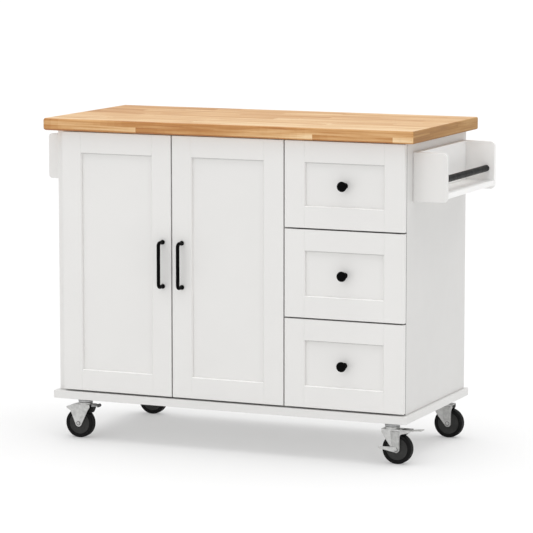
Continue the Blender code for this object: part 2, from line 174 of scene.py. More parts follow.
def lacquer(name, colour, roughness=0.36, front=None):
    """Sprayed white paint on board: faint mottling and orange peel. front is a dark colour for the faces that
    look forward, as painted shade on front edges.
    """
    s = Shader(name, colour, roughness)
    cloud = s.noise(4.0, 3.0)
    darker = tuple(c * 0.975 for c in colour)
    paint = s.ramp(s.span(cloud, 0.0, 1.0, 0.3, 0.7), [(0.0, darker), (1.0, colour)])
    # Painted shade: faces that look forward take the dark front colour.
    if front:
        paint = s.mix(s.span(s.normal(1), 1.0, 0.0, -0.95, -0.60), paint, front)
    s.put("Base Color", paint)
    s.put("Roughness", s.span(s.noise(22.0, 3.0), roughness - 0.05, roughness + 0.06, 0.3, 0.7))
    peel = s.math("ADD", s.noise(420.0, 2.0), s.math("MULTIPLY", s.noise(60.0, 2.0), 0.6))
    s.bump(peel, 0.06, 0.0003)
    s.set("Specular IOR Level", 0.28)
    return s.mat


def eased_painted_light(name, below, face, above):
    """The same paint on a narrow edge, with a painted highlight where it looks up and painted shade where it
    looks down.
    """
    s = Shader(name, face, 0.40)
    # Painted light: the colour goes from shaded below, through the paint, to a highlight above, by which way
    # the face looks.
    light_by_facing = s.span(s.normal(2), 0.0, 1.0, -0.7, 0.7)
    colour = s.ramp(light_by_facing, [(0.0, below), (0.5, face), (1.0, above)])
    worn = s.span(s.noise(70.0, 3.0), 0.0, 0.10, 0.3, 0.7)
    s.put("Base Color", s.mix(worn, colour, (0.70, 0.69, 0.67)))
    s.put("Roughness", s.span(s.noise(22.0, 3.0), 0.36, 0.46, 0.3, 0.7))
    s.bump(s.noise(420.0, 2.0), 0.06, 0.0003)
    s.set("Specular IOR Level", 0.28)
    return s.mat


def butcher_block(name):
    """Glued staves: tone and grain change from stave to stave, ends are browner and rougher."""
    s = Shader(name, (0.62, 0.34, 0.13), 0.42)
    tone, seed, end = s.attribute("tone"), s.attribute("seed"), s.attribute("end")
    parts = s.tree.nodes.new("ShaderNodeSeparateXYZ")
    s.link(s.object, parts.inputs[0])
    swap = s.tree.nodes.new("ShaderNodeCombineXYZ")
    for k, source in enumerate((1, 0, 2)):
        s.link(parts.outputs[source], swap.inputs[k])
    pick = s.tree.nodes.new("ShaderNodeMix")
    pick.data_type = "VECTOR"
    s.link(end, pick.inputs[0])
    s.link(s.object, pick.inputs[4])
    s.link(swap.outputs[0], pick.inputs[5])
    shift = s.tree.nodes.new("ShaderNodeCombineXYZ")
    for k, gain in enumerate((9.0, 5.0, 3.0)):
        s.link(s.math("MULTIPLY", seed, gain), shift.inputs[k])
    at = s.vector("ADD", pick.outputs[1], shift.outputs[0])
    broad = s.noise(1.0, 3.0, 0.5, at, (3.0, 42.0, 60.0), 0.5)
    streak = s.noise(1.0, 4.0, 0.65, at, (5.0, 150.0, 240.0), 0.3)
    pores = s.noise(1.0, 2.0, 0.5, at, (60.0, 900.0, 900.0))
    value = s.math("ADD", tone, s.math("MULTIPLY", s.math("SUBTRACT", broad, 0.5), 1.3))
    value = s.math("ADD", value, s.math("MULTIPLY", s.math("SUBTRACT", streak, 0.5), 1.3))
    colour = s.ramp(value, WOOD_STOPS)
    colour = s.mix(s.span(pores, 0.0, 0.30, 0.60, 0.74), colour, (0.30, 0.14, 0.05))
    colour = s.mix(s.math("MULTIPLY", end, 0.4), colour, (0.32, 0.245, 0.130))
    s.put("Base Color", colour)
    sheen = s.span(streak, 0.38, 0.50, 0.3, 0.7)
    s.put("Roughness", s.math("ADD", sheen, s.math("MULTIPLY", end, 0.45)))
    s.bump(s.math("ADD", streak, s.math("MULTIPLY", pores, 0.6)), 0.10, 0.0004)
    return s.mat


WOOD_STOPS = [
    (0.00, (0.360, 0.130, 0.028)), (0.25, (0.474, 0.203, 0.048)), (0.55, (0.620, 0.335, 0.125)),
    (0.90, (0.780, 0.510, 0.256)), (1.00, (0.850, 0.610, 0.350)),
]


def birch(name):
    """Pale drawer-box board with long grain."""
    s = Shader(name, (0.66, 0.50, 0.33), 0.5)
    grain = s.noise(1.0, 4.0, 0.6, None, (70.0, 5.0, 60.0), 0.5)
    fine = s.noise(1.0, 3.0, 0.6, None, (420.0, 18.0, 380.0))
    value = s.math("ADD", s.math("MULTIPLY", grain, 0.7), s.math("MULTIPLY", fine, 0.3))
    s.put("Base Color", s.ramp(value, [(0.3, (0.55, 0.38, 0.22)), (0.7, (0.74, 0.59, 0.40))]))
    s.put("Roughness", s.span(fine, 0.42, 0.58, 0.3, 0.7))
    s.bump(fine, 0.12, 0.0004)
    return s.mat


def powder_coat(name, grey=0.0022, specular=0.03):
    """Black powder coat with its fine leather-like texture."""
    s = Shader(name, (grey, grey, grey), 0.42)
    speckle = s.noise(700.0, 2.0)
    dark, light = (grey * 0.6,) * 3, (grey * 1.5,) * 3
    s.put("Base Color", s.ramp(speckle, [(0.35, dark), (0.7, light)]))
    s.put("Roughness", s.span(s.noise(90.0, 3.0), 0.34, 0.50, 0.3, 0.7))
    s.bump(speckle, 0.20, 0.0003)
    s.set("Specular IOR Level", specular)
    return s.mat


def zinc(name, colour=(0.60, 0.60, 0.59), roughness=0.40):
    """Bright zinc plating on pressed steel: faint blotches and drawing lines."""
    s = Shader(name, colour, roughness, 0.85)
    blotch = s.noise(120.0, 4.0, 0.6)
    lines = s.noise(1.0, 2.0, 0.5, None, (60.0, 900.0, 900.0))
    darker = tuple(c * 0.76 for c in colour)
    s.put("Base Color", s.ramp(blotch, [(0.32, darker), (0.62, colour)]))
    s.put("Roughness", s.span(lines, roughness - 0.06, roughness + 0.08, 0.3, 0.7))
    s.bump(s.math("ADD", lines, s.math("MULTIPLY", blotch, 0.5)), 0.08, 0.0003)
    return s.mat


def moulded(name, colour, roughness):
    """Rubber or moulded plastic: fine grain, dusty variation in tone."""
    s = Shader(name, colour, roughness)
    dust = s.noise(45.0, 4.0, 0.6)
    lighter = tuple(c * 1.5 + 0.001 for c in colour)
    s.put("Base Color", s.ramp(dust, [(0.40, colour), (0.80, lighter)]))
    s.put("Roughness", s.span(s.noise(160.0, 2.0), roughness - 0.08, roughness + 0.08, 0.3, 0.7))
    s.bump(s.noise(900.0, 2.0), 0.15, 0.0003)
    s.set("Specular IOR Level", 0.12)
    return s.mat


MATERIALS = {
    "white_lacquer": lacquer("white_lacquer_look", (0.800, 0.792, 0.777)),
    "white_inside": lacquer("white_inside_look", (0.780, 0.775, 0.765), 0.46),
    "butcher_block": butcher_block("butcher_block_look"),
    "birch_drawer_box": birch("birch_look"),
    "black_metal": powder_coat("black_metal_look"),
    "zinc_steel": zinc("zinc_steel_look"),
    "tyre": moulded("tyre_look", (0.005, 0.005, 0.005), 0.62),
}
# A paler copy of the black powder coat: painted light on the round bars.
BAR_LIT = powder_coat("black_bar_lit_look", 0.009, 0.08)
# A darker copy of the white paint, painted shade on the right side; its front edge gets a near-black painted
# shadow line beside the drawers.
RIGHT_SIDE_SHADED = lacquer("right_side_shaded_look", (0.705, 0.698, 0.684), front=(0.24, 0.238, 0.234))
# The eased inner edges of the fronts: painted highlight where they look up, painted shade where they look
# down.
EASED_LIT_AND_SHADED = eased_painted_light("eased_edge_lit_and_shaded_look", (0.52, 0.515, 0.505), (0.82, 0.812, 0.797), (0.99, 0.985, 0.975))
# A darker copy of the white paint: painted shade on the base board.
BASE_SHADED = lacquer("base_shaded_lacquer_look", (0.762, 0.755, 0.741))
# A paler copy of the white paint: painted light on the spice rack's back, shelf and rear end.
RACK_LIT = lacquer("rack_lit_lacquer_look", (0.930, 0.924, 0.912))
# A grey copy of the white paint: painted shade on the top rail, partition and hinge stile that show between
# the fronts.
CARCASS_SHADED = lacquer("carcass_edge_shaded_look", (0.600, 0.595, 0.585), 0.46)
# A darker copy of the zinc: painted shade on the swivel race under the board.
RACE_SHADED = zinc("race_shaded_look", (0.46, 0.46, 0.46), 0.36)
# A darker copy of the zinc: painted shade on the ribs of the trailing forks.
RIB_SHADED = zinc("zinc_rib_shaded_look", (0.53, 0.53, 0.52), 0.42)
SHADE = zinc("zinc_shaded_look", (0.17, 0.17, 0.17), 0.45)
# A darker copy of the zinc: painted shade on the front brake lever.
LEVER_STEEL_SHADED = zinc("lever_shaded_look", (0.30, 0.30, 0.30), 0.45)
HUB = moulded("hub_look", (0.036, 0.036, 0.035), 0.50)
PAD = moulded("brake_pad_look", (0.006, 0.006, 0.006), 0.60)
TIP = moulded("pedal_tip_look", (0.090, 0.090, 0.092), 0.50)


# ---------------------------------------------------------------- mesh helpers
def box(lo, hi, bm=None):
    """A box between two corners, added to bm."""
    bm = bm or bmesh.new()
    made = bmesh.ops.create_cube(bm, size=1.0)["verts"]
    lo, hi = Vector(lo), Vector(hi)
    bmesh.ops.scale(bm, verts=made, vec=hi - lo)
    bmesh.ops.translate(bm, verts=made, vec=(lo + hi) / 2)
    return bm


def prism(outline, y0, y1, bm=None, last=None):
    """An XZ outline extruded from y0 to y1, where it may become the outline last."""
    bm = bm or bmesh.new()
    near = [bm.verts.new((x, y0, z)) for x, z in outline]
    far = [bm.verts.new((x, y1, z)) for x, z in last or outline]
    bm.faces.new(near)
    bm.faces.new(list(reversed(far)))
    n = len(outline)
    for i in range(n):
        j = (i + 1) % n
        bm.faces.new((near[j], near[i], far[i], far[j]))
    return bm


def arc(cx, cz, r, a0, a1, steps):
    turn = [radians(a0 + (a1 - a0) * i / steps) for i in range(steps + 1)]
    return [(cx + r * cos(a), cz + r * sin(a)) for a in turn]


def lathe(profile, steps, centre, axis="Z", closed=False, bm=None):
    """Revolve (radius, height) about an axis letter through centre."""
    bm = bm or bmesh.new()
    turn = {
        "Z": Matrix.Identity(3), "X": Matrix.Rotation(pi / 2, 3, "Y"), "-X": Matrix.Rotation(-pi / 2, 3, "Y"),
        "Y": Matrix.Rotation(-pi / 2, 3, "X"), "-Y": Matrix.Rotation(pi / 2, 3, "X"),
    }[axis]
    centre = Vector(centre)
    rings = []
    for r, h in profile:
        count = 1 if r < 1e-9 else steps
        ring = []
        for i in range(count):
            a = 2 * pi * i / steps
            ring.append(bm.verts.new(turn @ Vector((r * cos(a), r * sin(a), h)) + centre))
        rings.append(ring)
    pairs = list(zip(rings, rings[1:])) + ([(rings[-1], rings[0])] if closed else [])
    for a, b in pairs:
        for i in range(steps):
            j = (i + 1) % steps
            if len(a) == 1:
                bm.faces.new((a[0], b[i], b[j]))
            elif len(b) == 1:
                bm.faces.new((a[i], a[j], b[0]))
            else:
                bm.faces.new((a[i], a[j], b[j], b[i]))
    return bm


def piece(name, bm, material, body, nodes=(), bevel=0.0, segments=3, smooth=35):
    """Finish bm as a shown piece that rides on body and stands for nodes."""
    bmesh.ops.recalc_face_normals(bm, faces=bm.faces)
    mesh = bpy.data.meshes.new(name)
    bm.to_mesh(mesh)
    bm.free()
    obj = bpy.data.objects.new(name, mesh)
    bpy.context.scene.collection.objects.link(obj)
    mesh.materials.append(material)
    mesh.polygons.foreach_set("use_smooth", [True] * len(mesh.polygons))
    if bevel:
        mod = obj.modifiers.new("edge", "BEVEL")
        mod.width = bevel
        mod.segments = segments
        mod.limit_method = "ANGLE"
        mod.angle_limit = radians(35)
        mod.harden_normals = True
    else:
        mesh.set_sharp_from_angle(angle=radians(smooth))
    nodes = [nodes] if isinstance(nodes, str) else list(nodes)
    if nodes:
        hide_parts(*nodes)
    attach(obj, body)
    return obj


def remake(node, bevel=0.001, segments=3, material=None):
    """The same board as a CAD node, with soft edges and its finish."""
    lo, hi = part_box(node)
    material = material or MATERIALS[SLOT[node]]
    piece(node + "_board", box(lo, hi), material, BODY[node], node, bevel=bevel, segments=segments)


# -------------------------------------------------------------------- worktop
ROWS = 12
STEP = 0.022            # length of the cells that carry the tone along the edges
CORNER, EASE = 0.0070, 0.0045               # radius in plan and along the edges
LEFT_CORNER, LEFT_EASE = 0.0110, 0.0075     # the same at the left end
STAVE_LENGTH = (0.26, 0.44)
TONE_SPREAD = (-0.17, 0.13)
UNDERSIDE_TONE = 0.45
# Painted shade on the worktop's rounded lower edge: these take tone off the faces that look down.
LOWER_EASE_SHADE, TURN_SHADE = 0.70, 0.15     # how much darker the rounded lower edge gets
# tone of the wood along the front edge, (x from the middle, tone); a repeated x is a joint
FRONT_UPPER = (
    (-0.556, 0.34), (-0.50, 0.64), (-0.40, 0.62), (-0.30, 0.36), (-0.20, 0.46), (-0.13, 0.38),
    (-0.10, 0.32), (0.09, 0.35), (0.14, 0.48), (0.22, 0.48), (0.26, 0.60), (0.49, 0.58), (0.556, 0.54),
)
FRONT_LOWER = (
    (-0.556, 0.26), (-0.49, 0.52), (-0.38, 0.62), (-0.265, 0.76), (-0.265, 0.28), (-0.21, 0.30),
    (-0.16, 0.40), (0.03, 0.57), (0.16, 0.64), (0.264, 0.86), (0.264, 0.32), (0.32, 0.48),
    (0.496, 0.54), (0.496, 0.92), (0.556, 0.90),
)
# the same along the ends, from the front edge
END_UPPER = (
    (0.0, 0.34), (0.03, 0.32), (0.125, 0.30), (0.125, 0.0), (0.35, 0.04), (0.35, 0.20),
    (0.43, 0.42), (0.522, 0.30),
)
END_LOWER = (
    (0.0, 0.10), (0.05, -0.10), (0.11, 0.0), (0.17, 0.22), (0.27, 0.36), (0.36, 0.34), (0.43, 0.20),
    (0.522, 0.26),
)
ROW_TONE = (0.96, 0.86, 0.86, 0.78, 0.70, 0.66, 0.62, 0.60, 0.60, 0.62, 0.60, 0.60)
LEAN = 0.25             # how much paler the rows get per metre towards the right


def joints(table):
    """Where one stave ends and the next begins."""
    return [a for (a, _), (b, _) in zip(table, table[1:]) if a == b]


def stave(table, x):
    """Tone at x, on straight lines between the entries, and the number of the stave there."""
    number = sum(x > joint for joint in joints(table))
    for (a, ta), (b, tb) in zip(table, table[1:]):
        if x < b:
            return ta + (tb - ta) * max(0.0, x - a) / (b - a), number
    return table[-1][1], number


def stave_rows(rng):
    """For each row of the top: a list of (x where it ends, tone)."""
    rows = []
    for base in ROW_TONE:
        x, row = -0.60 + rng.uniform(0.05, 0.30), []
        while x < 0.56:
            row.append((x, base + LEAN * x + rng.uniform(*TONE_SPREAD)))
            x += rng.uniform(*STAVE_LENGTH)
        row.append((9, base + LEAN * 0.5 + rng.uniform(*TONE_SPREAD)))
        rows.append(row)
    return rows


def slab(lo, hi):
    """A board rounded at its corners in plan and along its edges, more so at the left end."""
    bm = bmesh.new()

    def ring(t, top):
        outline = []
        for cx, cy, a in ((hi.x, hi.y, 0), (lo.x, hi.y, 90), (lo.x, lo.y, 180), (hi.x, lo.y, 270)):
            right = cx > MID_X
            corner, ease = (CORNER, EASE) if right else (LEFT_CORNER, LEFT_EASE)
            sx, sy = (-1 if right else 1), (-1 if cy > 0 else 1)
            depth = ease * (1 - cos(t))
            z = hi.z - depth if top else lo.z + depth
            r = corner - ease * (1 - sin(t))
            plan = arc(cx + sx * corner, cy + sy * corner, r, a, a + 90, 6)
            outline += [bm.verts.new((x, y, z)) for x, y in plan]
        return outline

    turn = [pi / 2 * k / 4 for k in range(5)]
    rings = [ring(t, False) for t in turn] + [ring(t, True) for t in reversed(turn)]
    bm.faces.new(rings[-1])
    bm.faces.new(list(reversed(rings[0])))
    for below, above in zip(rings, rings[1:]):
        for i in range(len(below)):
            j = (i + 1) % len(below)
            bm.faces.new((below[i], below[j], above[j], above[i]))
    return bm


def cut(bm, point, normal, keep):
    """Slice the faces for which keep(centre, normal) holds."""
    faces = [f for f in bm.faces if keep(f.calc_center_median(), f.normal)]
    edges = {e for f in faces for e in f.edges}
    verts = {v for f in faces for v in f.verts}
    bmesh.ops.bisect_plane(
        bm, geom=list(verts) + list(edges) + faces, plane_co=point, plane_no=normal, dist=1e-6
    )


def cut_staves(bm, lo, hi, rows):
    """Slice the block where one stave or one cell of tone meets the next."""
    width = (hi.y - lo.y) / ROWS
    bm.normal_update()
    cut(bm, (0, 0, (lo.z + hi.z) / 2), (0, 0, 1), lambda c, n: True)
    for r in range(1, ROWS):
        cut(bm, (0, lo.y + r * width, 0), (0, 1, 0), lambda c, n: n.z > 0.9)
    for r, row in enumerate(rows):
        y0, y1 = lo.y + r * width - 1e-5, lo.y + (r + 1) * width + 1e-5
        for x, _ in row[:-1]:
            cut(bm, (MID_X + x, 0, 0), (1, 0, 0), lambda c, n: n.z > 0.9 and y0 < c.y < y1)
    seams = joints(FRONT_UPPER) + joints(FRONT_LOWER)
    for x in [-0.55 + STEP * k for k in range(51)] + seams + [-x for x in seams]:
        cut(bm, (MID_X + x, 0, 0), (1, 0, 0), lambda c, n: abs(n.y) > 0.3 and abs(n.z) < 0.99)
    for y in [STEP * k for k in range(1, 24)] + joints(END_UPPER) + joints(END_LOWER):
        cut(bm, (0, lo.y + y, 0), (0, 1, 0), lambda c, n: abs(n.x) > 0.3 and abs(n.z) < 0.99)


def stave_at(c, n, lo, hi, rows):
    """Tone, key of the stave, and 1 on an end, for a face with this centre and normal."""
    x, y, upper = c.x - MID_X, c.y - lo.y, c.z > (lo.z + hi.z) / 2
    end = 0.0
    if n.z > 0.9:
        r = min(ROWS - 1, max(0, int(y / ((hi.y - lo.y) / ROWS))))
        k, tone = next((k, t) for k, (stop, t) in enumerate(rows[r]) if x < stop)
        key = ("top", r, k)
    elif n.z < -0.9:
        tone, key = UNDERSIDE_TONE, ("under",)
    elif abs(n.y) > abs(n.x):
        tone, number = stave(FRONT_UPPER if upper else FRONT_LOWER, x if n.y < 0 else -x)
        key = ("long", n.y < 0, upper, number)
    else:
        tone, number = stave(END_UPPER if upper else END_LOWER, y)
        key, end = ("end", n.x > 0, upper, number), 1.0
    # Painted shade: the rounded lower edge, which looks down, is made darker.
    if -0.9 < n.z < -0.1:
        tone -= LOWER_EASE_SHADE if n.z < -0.4 else TURN_SHADE
    return tone, key, end


def worktop():
    """The block of staves, with each face's tone, random seed and grain direction as attributes."""
    lo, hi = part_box("worktop")
    rng = random.Random(11)
    rows = stave_rows(rng)
    bm = slab(lo, hi)
    cut_staves(bm, lo, hi, rows)
    layers = {k: bm.faces.layers.float.new(k) for k in ("tone", "seed", "end")}
    bm.normal_update()
    seeds = {}
    for f in bm.faces:
        tone, key, end = stave_at(f.calc_center_median(), f.normal, lo, hi, rows)
        if key not in seeds:
            seeds[key] = rng.random()
        for name, value in (("tone", tone), ("seed", seeds[key]), ("end", end)):
            f[layers[name]] = value
    obj = piece("worktop_block", bm, MATERIALS["butcher_block"], BODY["worktop"], "worktop", smooth=30)
    normals = obj.modifiers.new("normals", "WEIGHTED_NORMAL")
    normals.keep_sharp = True


# -------------------------------------------------------------------- fronts
LAP = 0.0068            # how far a panel reaches behind its frame
SILL = 0.0022           # the eased inner edge of a frame
SEAM = 0.00004          # joint between a stile and a rail
RAIL_BACK = 0.00005     # how far the rails stand behind the stiles
PAINT = 0.0004          # the paint that fills the joint round a panel


def shaker(frame_node, panel_node):
    """Two full-height stiles, two rails between them, an eased inner edge and the flat panel."""
    lo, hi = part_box(frame_node)
    plo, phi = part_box(panel_node)
    x0, x1 = plo.x + LAP, phi.x - LAP
    z0, z1 = plo.z + LAP, phi.z - LAP
    bm = box(lo, (x0 - SILL, hi.y, hi.z))
    box((x1 + SILL, lo.y, lo.z), hi, bm)
    box((x0 - SILL + SEAM, lo.y + RAIL_BACK, lo.z), (x1 + SILL - SEAM, hi.y, z0 - SILL), bm)
    box((x0 - SILL + SEAM, lo.y + RAIL_BACK, z1 + SILL), (x1 + SILL - SEAM, hi.y, hi.z), bm)
    piece(
        frame_node + "_stiles_and_rails", bm, MATERIALS["white_lacquer"], BODY[frame_node],
        frame_node, bevel=0.0004, segments=2,
    )
    bm = bmesh.new()
    loops = []
    for grow, y in ((SILL, hi.y), (SILL, lo.y + 0.0001), (0, lo.y + SILL), (0, hi.y)):
        corners = (
            (x0 - grow, z0 - grow), (x1 + grow, z0 - grow), (x1 + grow, z1 + grow), (x0 - grow, z1 + grow),
        )
        loops.append([bm.verts.new((x, y, z)) for x, z in corners])
    for a, b in zip(loops, loops[1:] + loops[:1]):
        for i in range(4):
            bm.faces.new((a[i], a[(i + 1) % 4], b[(i + 1) % 4], b[i]))
    piece(
        frame_node + "_eased_edge", bm, EASED_LIT_AND_SHADED, BODY[frame_node],
        frame_node, bevel=0.0003, segments=1,
    )
    front = Vector((0, PAINT, 0))
    piece(
        panel_node + "_board", box(plo - front, phi), MATERIALS["white_lacquer"], BODY[panel_node],
        panel_node, bevel=0.0003, segments=1,
    )


HANDLE_R, FOOT_R, FOOT_H, BEND = 0.0050, 0.0066, 0.0035, 0.009


def handle(node):
    """The D-shaped bar: flanged feet, bends and a straight grip."""
    lo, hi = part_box(node)
    x = (lo.x + hi.x) / 2
    z0, z1 = lo.z + FOOT_R, hi.z - FOOT_R
    grip = lo.y + HANDLE_R
    half = [
        (hi.y, z0, FOOT_R - 0.0004), (hi.y - 0.0006, z0, FOOT_R), (hi.y - FOOT_H + 0.0006, z0, FOOT_R),
        (hi.y - FOOT_H, z0, FOOT_R - 0.0006), (hi.y - FOOT_H - 0.0004, z0, HANDLE_R),
        (hi.y - 0.010, z0, HANDLE_R),
    ]
    for i in range(13):
        a = pi / 2 * i / 12
        half.append((grip + BEND - BEND * sin(a), z0 + BEND - BEND * cos(a), HANDLE_R))
    line = half + [(y, z0 + z1 - z, r) for y, z, r in reversed(half)]
    bm = bmesh.new()
    rings, steps = [], 28
    for k, (y, z, r) in enumerate(line):
        before, after = line[max(k - 1, 0)], line[min(k + 1, len(line) - 1)]
        along = Vector((0, after[0] - before[0], after[1] - before[1])).normalized()
        side = Vector((1, 0, 0))
        up = along.cross(side)
        ring = []
        for i in range(steps):
            a = 2 * pi * i / steps
            ring.append(bm.verts.new(Vector((x, y, z)) + (side * cos(a) + up * sin(a)) * r))
        rings.append(ring)
    for a, b in zip(rings, rings[1:]):
        for i in range(steps):
            j = (i + 1) % steps
            bm.faces.new((a[i], a[j], b[j], b[i]))
    bm.faces.new(rings[0])
    bm.faces.new(list(reversed(rings[-1])))
    piece(node + "_bar", bm, MATERIALS["black_metal"], BODY[node], node, smooth=40)


def knob(node):
    """Flange, waisted stem and a shallow domed head."""
    lo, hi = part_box(node)
    centre = ((lo.x + hi.x) / 2, hi.y, (lo.z + hi.z) / 2)
    out, r = hi.y - lo.y, (hi.x - lo.x) / 2
    profile = [(0, 0), (0.0078, 0), (0.0080, 0.0003), (0.0080, 0.0018), (0.0074, 0.0024)]
    profile += [(0.0060, 0.0032), (0.0055, 0.0060), (0.0056, out - 0.0140), (0.0068, out - 0.0115)]
    profile += [(0.0098, out - 0.0097), (r - 0.0010, out - 0.0081), (r - 0.0002, out - 0.0067)]
    profile += [(r, out - 0.0055), (r - 0.0003, out - 0.0041), (r - 0.0016, out - 0.0025)]
    profile += [(0.0100, out - 0.0010), (0.0062, out - 0.0003), (0.0030, out), (0, out)]
    bm = lathe(profile, 48, centre, "-Y")
    piece(node + "_turned", bm, MATERIALS["black_metal"], BODY[node], node, smooth=50)


def drawer_box(node):
    """Four walls lapped at the corners round a grooved-in floor."""
    lo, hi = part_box(node)
    wall = 0.012
    bm = box(lo, (lo.x + wall, hi.y, hi.z))
    box((hi.x - wall, lo.y, lo.z), hi, bm)
    box((lo.x + wall, lo.y, lo.z), (hi.x - wall, lo.y + wall, hi.z), bm)
    box((lo.x + wall, hi.y - wall, lo.z), (hi.x - wall, hi.y, hi.z), bm)
    box((lo.x + wall, lo.y + wall, lo.z + 0.001), (hi.x - wall, hi.y - wall, lo.z + 0.006), bm)
    piece(node + "_boards", bm, MATERIALS["birch_drawer_box"], BODY[node], node, bevel=0.0009, segments=2)


def runner(node):
    """A steel channel with turned-in lips, open towards the drawer."""
    lo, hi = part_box(node)
    left = node.endswith("left")
    back, front = (lo.x, hi.x) if left else (hi.x, lo.x)
    sign = 1 if left else -1
    t = 0.0016
    bm = box((min(back, back + sign * t), lo.y, lo.z), (max(back, back + sign * t), hi.y, hi.z))
    for z0, z1 in ((lo.z, lo.z + t), (hi.z - t, hi.z)):
        box((min(back, front), lo.y, z0), (max(back, front), hi.y, z1), bm)
    for z0, z1 in ((lo.z, lo.z + 0.006), (hi.z - 0.006, hi.z)):
        box((min(front, front - sign * t), lo.y, z0), (max(front, front - sign * t), hi.y, z1), bm)
    mid = (lo.z + hi.z) / 2
    box((min(back + sign * 0.003, front - sign * 0.002), lo.y + 0.004, mid - 0.009),
        (max(back + sign * 0.003, front - sign * 0.002), hi.y - 0.03, mid + 0.009), bm)
    piece(node + "_channel", bm, MATERIALS["zinc_steel"], BODY[node], node, bevel=0.0004, segments=2)


SCREW = (
    (0, 0), (0.0040, 0), (0.0040, 0.0007), (0.0030, 0.0016), (0.0014, 0.0018), (0.0010, 0.0009),
    (0, 0.0009),
)


def screws(name, places, axis, body, material=None, scale=1.0):
    """Pan-head screws with a recess, heads pointing along axis."""
    bm = bmesh.new()
    for place in places:
        lathe([(r * scale, h * scale) for r, h in SCREW], 20, place, axis, bm=bm)
    piece(name, bm, material or MATERIALS["zinc_steel"], body, smooth=40)


def hinge(node):
    """A concealed hinge's cup side: flange with ears, cup lid, screws and arm."""
    lo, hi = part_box(node)
    cx, cz = (lo.x + hi.x) / 2, (lo.z + hi.z) / 2
    y = lo.y
    zs = MATERIALS["zinc_steel"]
    outline = arc(cx, cz - 0.0185, 0.0070, 200, 340, 8) + [(cx + 0.0160, cz - 0.008)]
    outline += [(cx + 0.0160, cz + 0.008)] + arc(cx, cz + 0.0185, 0.0070, 20, 160, 8)
    outline += [(cx - 0.0160, cz + 0.008), (cx - 0.0160, cz - 0.008)]
    bm = prism(outline, y, y + 0.0014)
    lathe([(0, 0.0014), (0.0150, 0.0014), (0.0146, 0.0022), (0.0120, 0.0024), (0.0112, 0.0014), (0, 0.0014)],
          36, (cx, y, cz), "Y", bm=bm)
    for dz in (-0.0195, 0.0195):
        lathe([(0, 0.0014), (0.0036, 0.0014), (0.0034, 0.0026), (0.0018, 0.0032), (0, 0.0032)],
              20, (cx, y, cz + dz), "Y", bm=bm)
    box((cx - 0.0045, y + 0.001, cz - 0.0085), (cx + 0.0045, hi.y, cz + 0.0085), bm)
    piece(node + "_cup", bm, zs, BODY[node], node, bevel=0.0005, segments=2)

    if node.startswith("left"):
        wall, into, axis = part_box("hinge_stile")[1].x, 1, "X"
    else:
        wall, into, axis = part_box("centre_partition")[0].x, -1, "-X"
    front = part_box("hinge_stile")[0].y
    x = wall + into * 0.0024
    bm = box((min(wall, x), front + 0.0015, cz - 0.024), (max(wall, x), front + 0.0165, cz + 0.024))
    box((min(x, x + into * 0.0010), front + 0.0030, cz - 0.006),
        (max(x, x + into * 0.0010), front + 0.0150, cz + 0.006), bm)
    piece(node + "_mounting_plate", bm, zs, BODY["hinge_stile"], bevel=0.0005, segments=2)
    places = [(x, front + 0.009, cz + dz) for dz in (-0.016, 0.016)]
    screws(node + "_plate_screws", places, axis, BODY["hinge_stile"], scale=0.7)


def shelf_pins():
    """Four steel pegs in the walls, just under the shelf."""
    lo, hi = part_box("cupboard_shelf")
    radius, reach, inset = 0.0025, 0.009, 0.045
    bm = bmesh.new()
    for y in (lo.y + inset, hi.y - inset):
        for x, axis in ((lo.x - 0.0003, "X"), (hi.x + 0.0003, "-X")):
            profile = [(0, 0), (radius, 0), (radius, reach - 0.0008), (radius - 0.0008, reach), (0, reach)]
            lathe(profile, 20, (x, y, lo.z - radius), axis, bm=bm)
    piece("shelf_pins", bm, MATERIALS["zinc_steel"], BODY["cupboard_shelf"], smooth=40)


def back_screws():
    """Painted screws round the edge of the back panel and down the partition."""
    lo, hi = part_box("back_panel")
    edge, across, down = 0.009, 7, 5
    xs = [lo.x + edge + (hi.x - lo.x - 2 * edge) * i / across for i in range(across + 1)]
    zs = [lo.z + edge + (hi.z - lo.z - 2 * edge) * i / down for i in range(down + 1)]
    middle = (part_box("centre_partition")[0].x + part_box("centre_partition")[1].x) / 2
    places = [(x, hi.y, z) for x in xs for z in (zs[0], zs[-1])]
    places += [(x, hi.y, z) for x in (xs[0], xs[-1], middle) for z in zs[1:-1]]
    screws("back_panel_screws", places, "Y", BODY["back_panel"], MATERIALS["white_inside"], 0.85)


# --------------------------------------------------------------------- racks
def rack_end(node, side, top_r, foot, material):
    """A rack's end panel: rounded at the top, cut or rounded at the foot."""
    lo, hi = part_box(node)
    inner, outer = (lo.x, hi.x) if side > 0 else (hi.x, lo.x)
    r = top_r
    out = [(inner, lo.z)]
    if foot == "chamfer":
        out += [(outer - 0.0090, lo.z), (outer - 0.0070, lo.z + 0.0006), (outer - 0.0006, lo.z + 0.0070)]
        out += [(outer, lo.z + 0.0090)]
    else:
        out += arc(outer + r, lo.z + r, r, 270, 180, 10)
    if side > 0:
        out += arc(outer - r, hi.z - r, r, 0, 90, 12)
    else:
        out += arc(outer + r, hi.z - r, r, 180, 90, 10)
    out += [(inner, hi.z)]
    bm = prism(out, lo.y, hi.y)
    piece(node + "_shaped", bm, material, BODY[node], node, bevel=0.0012, segments=3)


def bar(node):
    """A round bar with a fine groove beside the cap at each end."""
    lo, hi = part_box(node)
    r = (hi.x - lo.x) / 2
    length = hi.y - lo.y
    half = [(0, 0), (r - 0.0008, 0), (r, 0.0008), (r, 0.0040), (r - 0.0006, 0.0043)]
    half += [(r - 0.0006, 0.0047), (r, 0.0050)]
    profile = half + [(x, length - h) for x, h in reversed(half)]
    bm = lathe(profile, 40, ((lo.x + hi.x) / 2, lo.y, (lo.z + hi.z) / 2), "Y")
    piece(node + "_rod", bm, BAR_LIT, BODY[node], node, smooth=40)


